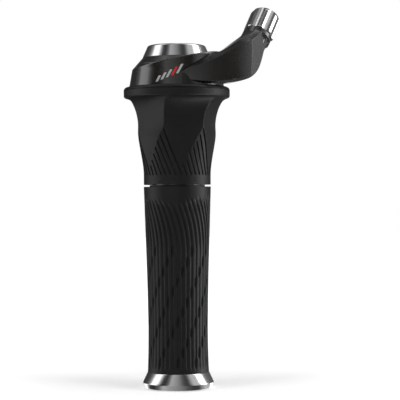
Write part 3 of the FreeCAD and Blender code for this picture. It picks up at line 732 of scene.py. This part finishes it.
def makeMetal(name, bright, dull, roughness, grain, scale):
    s = metalSet
    metal = Finish(name, Metallic=1.0)
    turned = metal.noise(scale, s["turnedDetail"], s[grain])
    cloud = metal.noise(*s["cloud"])
    metal.set("Base Color", metal.mix(cloud, dull, bright))
    metal.set("Roughness", roughness + s["cloudUneven"] * cloud + s["turnedUneven"] * turned)
    metal.bump(turned, s["depth"] * mm)
    return metal


for name, bright, dull, roughness, grain, scale, pieces in metalSet["kinds"]:
    paint(makeMetal(name, bright, dull, roughness, grain, scale), *pieces)


plasticSet = {
    "cloud": (120, 4),
    "grain": (1800, 3),
    "uneven": 0.12,
    "depth": 0.02,
    "kinds": [
        # name, dark, light, roughness, pieces
        ("corePlastic", (0.012, 0.012, 0.013), (0.022, 0.022, 0.023), 0.38, ["grip_core"]),
        ("sleevePlastic", (0.020, 0.020, 0.021), (0.034, 0.034, 0.035), 0.42, ["twist_sleeve"]),
        ("drumPlastic", (0.50, 0.49, 0.45), (0.60, 0.59, 0.54), 0.40, ["cable_drum"]),
        ("clickPlastic", (0.12, 0.12, 0.13), (0.19, 0.19, 0.20), 0.40, ["click_ring"]),
        ("cagePlastic", (0.68, 0.67, 0.62), (0.78, 0.77, 0.72), 0.42,
         ["cage_outboard", "cage_middle", "cage_inboard"]),
        ("washerPlastic", (0.74, 0.74, 0.72), (0.82, 0.82, 0.80), 0.40,
         ["outboard_washer", "inboard_washer"]),
        ("indexPlastic", (0.08, 0.08, 0.08), (0.12, 0.12, 0.12), 0.40, ["index_sleeve"]),
        ("accentGrey", (0.20, 0.20, 0.20), (0.34, 0.34, 0.34), 0.30, ["accentBarsGrey"]),
        ("accentRed", (0.30, 0.012, 0.010), (0.44, 0.022, 0.018), 0.30, ["accentBarRed"]),
    ],
}


def makePlastic(name, dark, light, roughness):
    s = plasticSet
    plastic = Finish(name)
    cloud = plastic.noise(*s["cloud"])
    grain = plastic.noise(*s["grain"])
    plastic.set("Base Color", plastic.mix(cloud, dark, light))
    plastic.set("Roughness", roughness + s["uneven"] * grain)
    plastic.bump(grain, s["depth"] * mm)
    return plastic


for name, dark, light, roughness, pieces in plasticSet["kinds"]:
    paint(makePlastic(name, dark, light, roughness), *pieces)
print("materials made")


# Floor, lamps and surroundings. Lamps light the object, and mirrored rays see the walls below
stageSet = {
    "floor": 6.0,
    "drop": -0.3 * mm,
    "shade": (0.80, 0.80, 0.80),
    "roughness": 0.8,
    "lamps": [
        # name, place, size, watts
        ("left", (-0.60, -0.45, 0.30), (0.40, 0.60), 3.6),
        ("right", (0.62, -0.40, 0.26), (0.40, 0.60), 4.2),
        ("top", (0.05, -0.12, 0.85), (0.60, 0.50), 2.4),
    ],
    "around": 0.16,
    "sky": 0.45,
    "skyFrom": (0.90, 0.99),        # how steep a ray has to be to meet it
    # mirrored brightness round the bar: degrees from the camera to the right, strength
    "walls": [(-180, 0.90), (-172, 0.10), (-150, 0.04), (-125, 0.08), (-110, 0.30), (-102, 1.4),
              (-80, 1.4), (-72, 0.40), (-63, 0.05), (-50, 0.03), (-38, 0.14), (-28, 0.48),
              (-16, 0.38), (4, 0.24), (18, 0.10), (30, 0.05), (42, 0.06), (50, 0.30),
              (60, 0.55), (80, 0.50), (88, 3.4), (104, 3.4), (110, 0.50), (118, 0.22),
              (134, 0.14), (152, 0.10), (172, 0.16), (180, 0.90)],
    "foot": (0.40, 0.06, 0.34),     # floor's own glow at the object, and where it turns white
}

clearSelection()
bpy.ops.mesh.primitive_plane_add(size=stageSet["floor"], location=(0, 0, stageSet["drop"]))
floor = bpy.context.object
floor.name = "floor"


def parts(tree, direction):
    split = tree.nodes.new("ShaderNodeSeparateXYZ")
    tree.links.new(direction, split.inputs[0])
    return [Wire(tree, socket) for socket in split.outputs]


def wallGlow(tree, across, ahead):
    # strength of the walls seen towards a direction, from a ramp round the bar
    turn = across.sum("ARCTAN2", across, 0 - ahead) / (2 * math.pi) + 0.5
    ramp = tree.nodes.new("ShaderNodeValToRGB")
    stops = stageSet["walls"]
    brightest = max(strength for degrees, strength in stops)
    while len(ramp.color_ramp.elements) < len(stops):
        ramp.color_ramp.elements.new(0.5)
    for element, (degrees, strength) in zip(ramp.color_ramp.elements, stops):
        element.position = degrees / 360 + 0.5
        element.color = (strength / brightest,) * 3 + (1,)
    tree.links.new(turn.socket, ramp.inputs[0])
    return Wire(tree, ramp.outputs[0]) * brightest


floorFinish = Finish("floorFinish", Base_Color=stageSet["shade"],
                     Roughness=stageSet["roughness"])
tree = floorFinish.tree
path = floorFinish.node("ShaderNodeLightPath")
seen, mirrored = path.output("Is Camera Ray"), path.output("Is Glossy Ray")
low, near, far = stageSet["foot"]
reach = floorFinish.node("ShaderNodeVectorMath", {"operation": "LENGTH"}, i0=floorFinish.place)
away = floorFinish.node("ShaderNodeMapRange", Value=reach.output("Value"), From_Min=near,
                        From_Max=far, To_Min=low, To_Max=1.0).output()
glow = floorFinish.node("ShaderNodeEmission", Color=(1, 1, 1, 1), Strength=away * seen).output()
walls = wallGlow(tree, *parts(tree, floorFinish.place.socket)[:2])
wall = floorFinish.node("ShaderNodeEmission", Color=(1, 1, 1, 1), Strength=walls).output()
lit = tree.nodes.new("ShaderNodeAddShader")
tree.links.new(floorFinish.shader.outputs[0], lit.inputs[0])
tree.links.new(glow.socket, lit.inputs[1])
choice = tree.nodes.new("ShaderNodeMixShader")
tree.links.new(mirrored.socket, choice.inputs[0])
tree.links.new(lit.outputs[0], choice.inputs[1])
tree.links.new(wall.socket, choice.inputs[2])
tree.links.new(choice.outputs[0], tree.nodes["Material Output"].inputs[0])
floor.data.materials.append(floorFinish.material)

for name, place, size, watts in stageSet["lamps"]:
    lamp = bpy.data.lights.new(name, "AREA")
    lamp.shape = "RECTANGLE"
    lamp.size, lamp.size_y = size
    lamp.energy = watts
    holder = bpy.data.objects.new(name, lamp)
    scene.collection.objects.link(holder)
    holder.location = place
    holder.rotation_euler = (aim - Vector(place)).to_track_quat("-Z", "Y").to_euler()
    holder.visible_glossy = False

world = bpy.data.worlds.new("surroundings")
scene.world = world
world.use_nodes = True
tree = world.node_tree
background = tree.nodes["Background"]
light = tree.nodes.new("ShaderNodeLightPath")
where = tree.nodes.new("ShaderNodeTexCoord")
across, ahead, high = parts(tree, where.outputs["Generated"])
walls = wallGlow(tree, across, ahead)
camRay, glossRay, glassRay = (Wire(tree, light.outputs[name]) for name in (
    "Is Camera Ray", "Is Glossy Ray", "Is Transmission Ray"))
upper = tree.nodes.new("ShaderNodeMapRange")
tree.links.new(high.socket, upper.inputs["Value"])
upper.inputs["From Min"].default_value = stageSet["skyFrom"][0]
upper.inputs["From Max"].default_value = stageSet["skyFrom"][1]
share = Wire(tree, upper.outputs[0])
mirror = walls * (1 - share) + stageSet["sky"] * share
direct = camRay.sum("MAXIMUM", camRay, glassRay)
plain = (1 - direct.sum("MAXIMUM", direct, glossRay)) * stageSet["around"]
total = direct + glossRay * mirror + plain
background.inputs["Color"].default_value = (1, 1, 1, 1)
tree.links.new(total.socket, background.inputs["Strength"])
scene.view_settings.view_transform = "Standard"
print("stage set")


# Every new piece rides its body
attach(grip, "bar_mount")
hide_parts("grip_rubber")
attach(ring, "bar_mount")
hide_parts("lock_ring")
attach(twistSkin, "twist_grip")
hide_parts("twist_rubber")
for bar in (greyBars, redBar):
    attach(bar, "bar_mount")
print("pieces on their bodies")
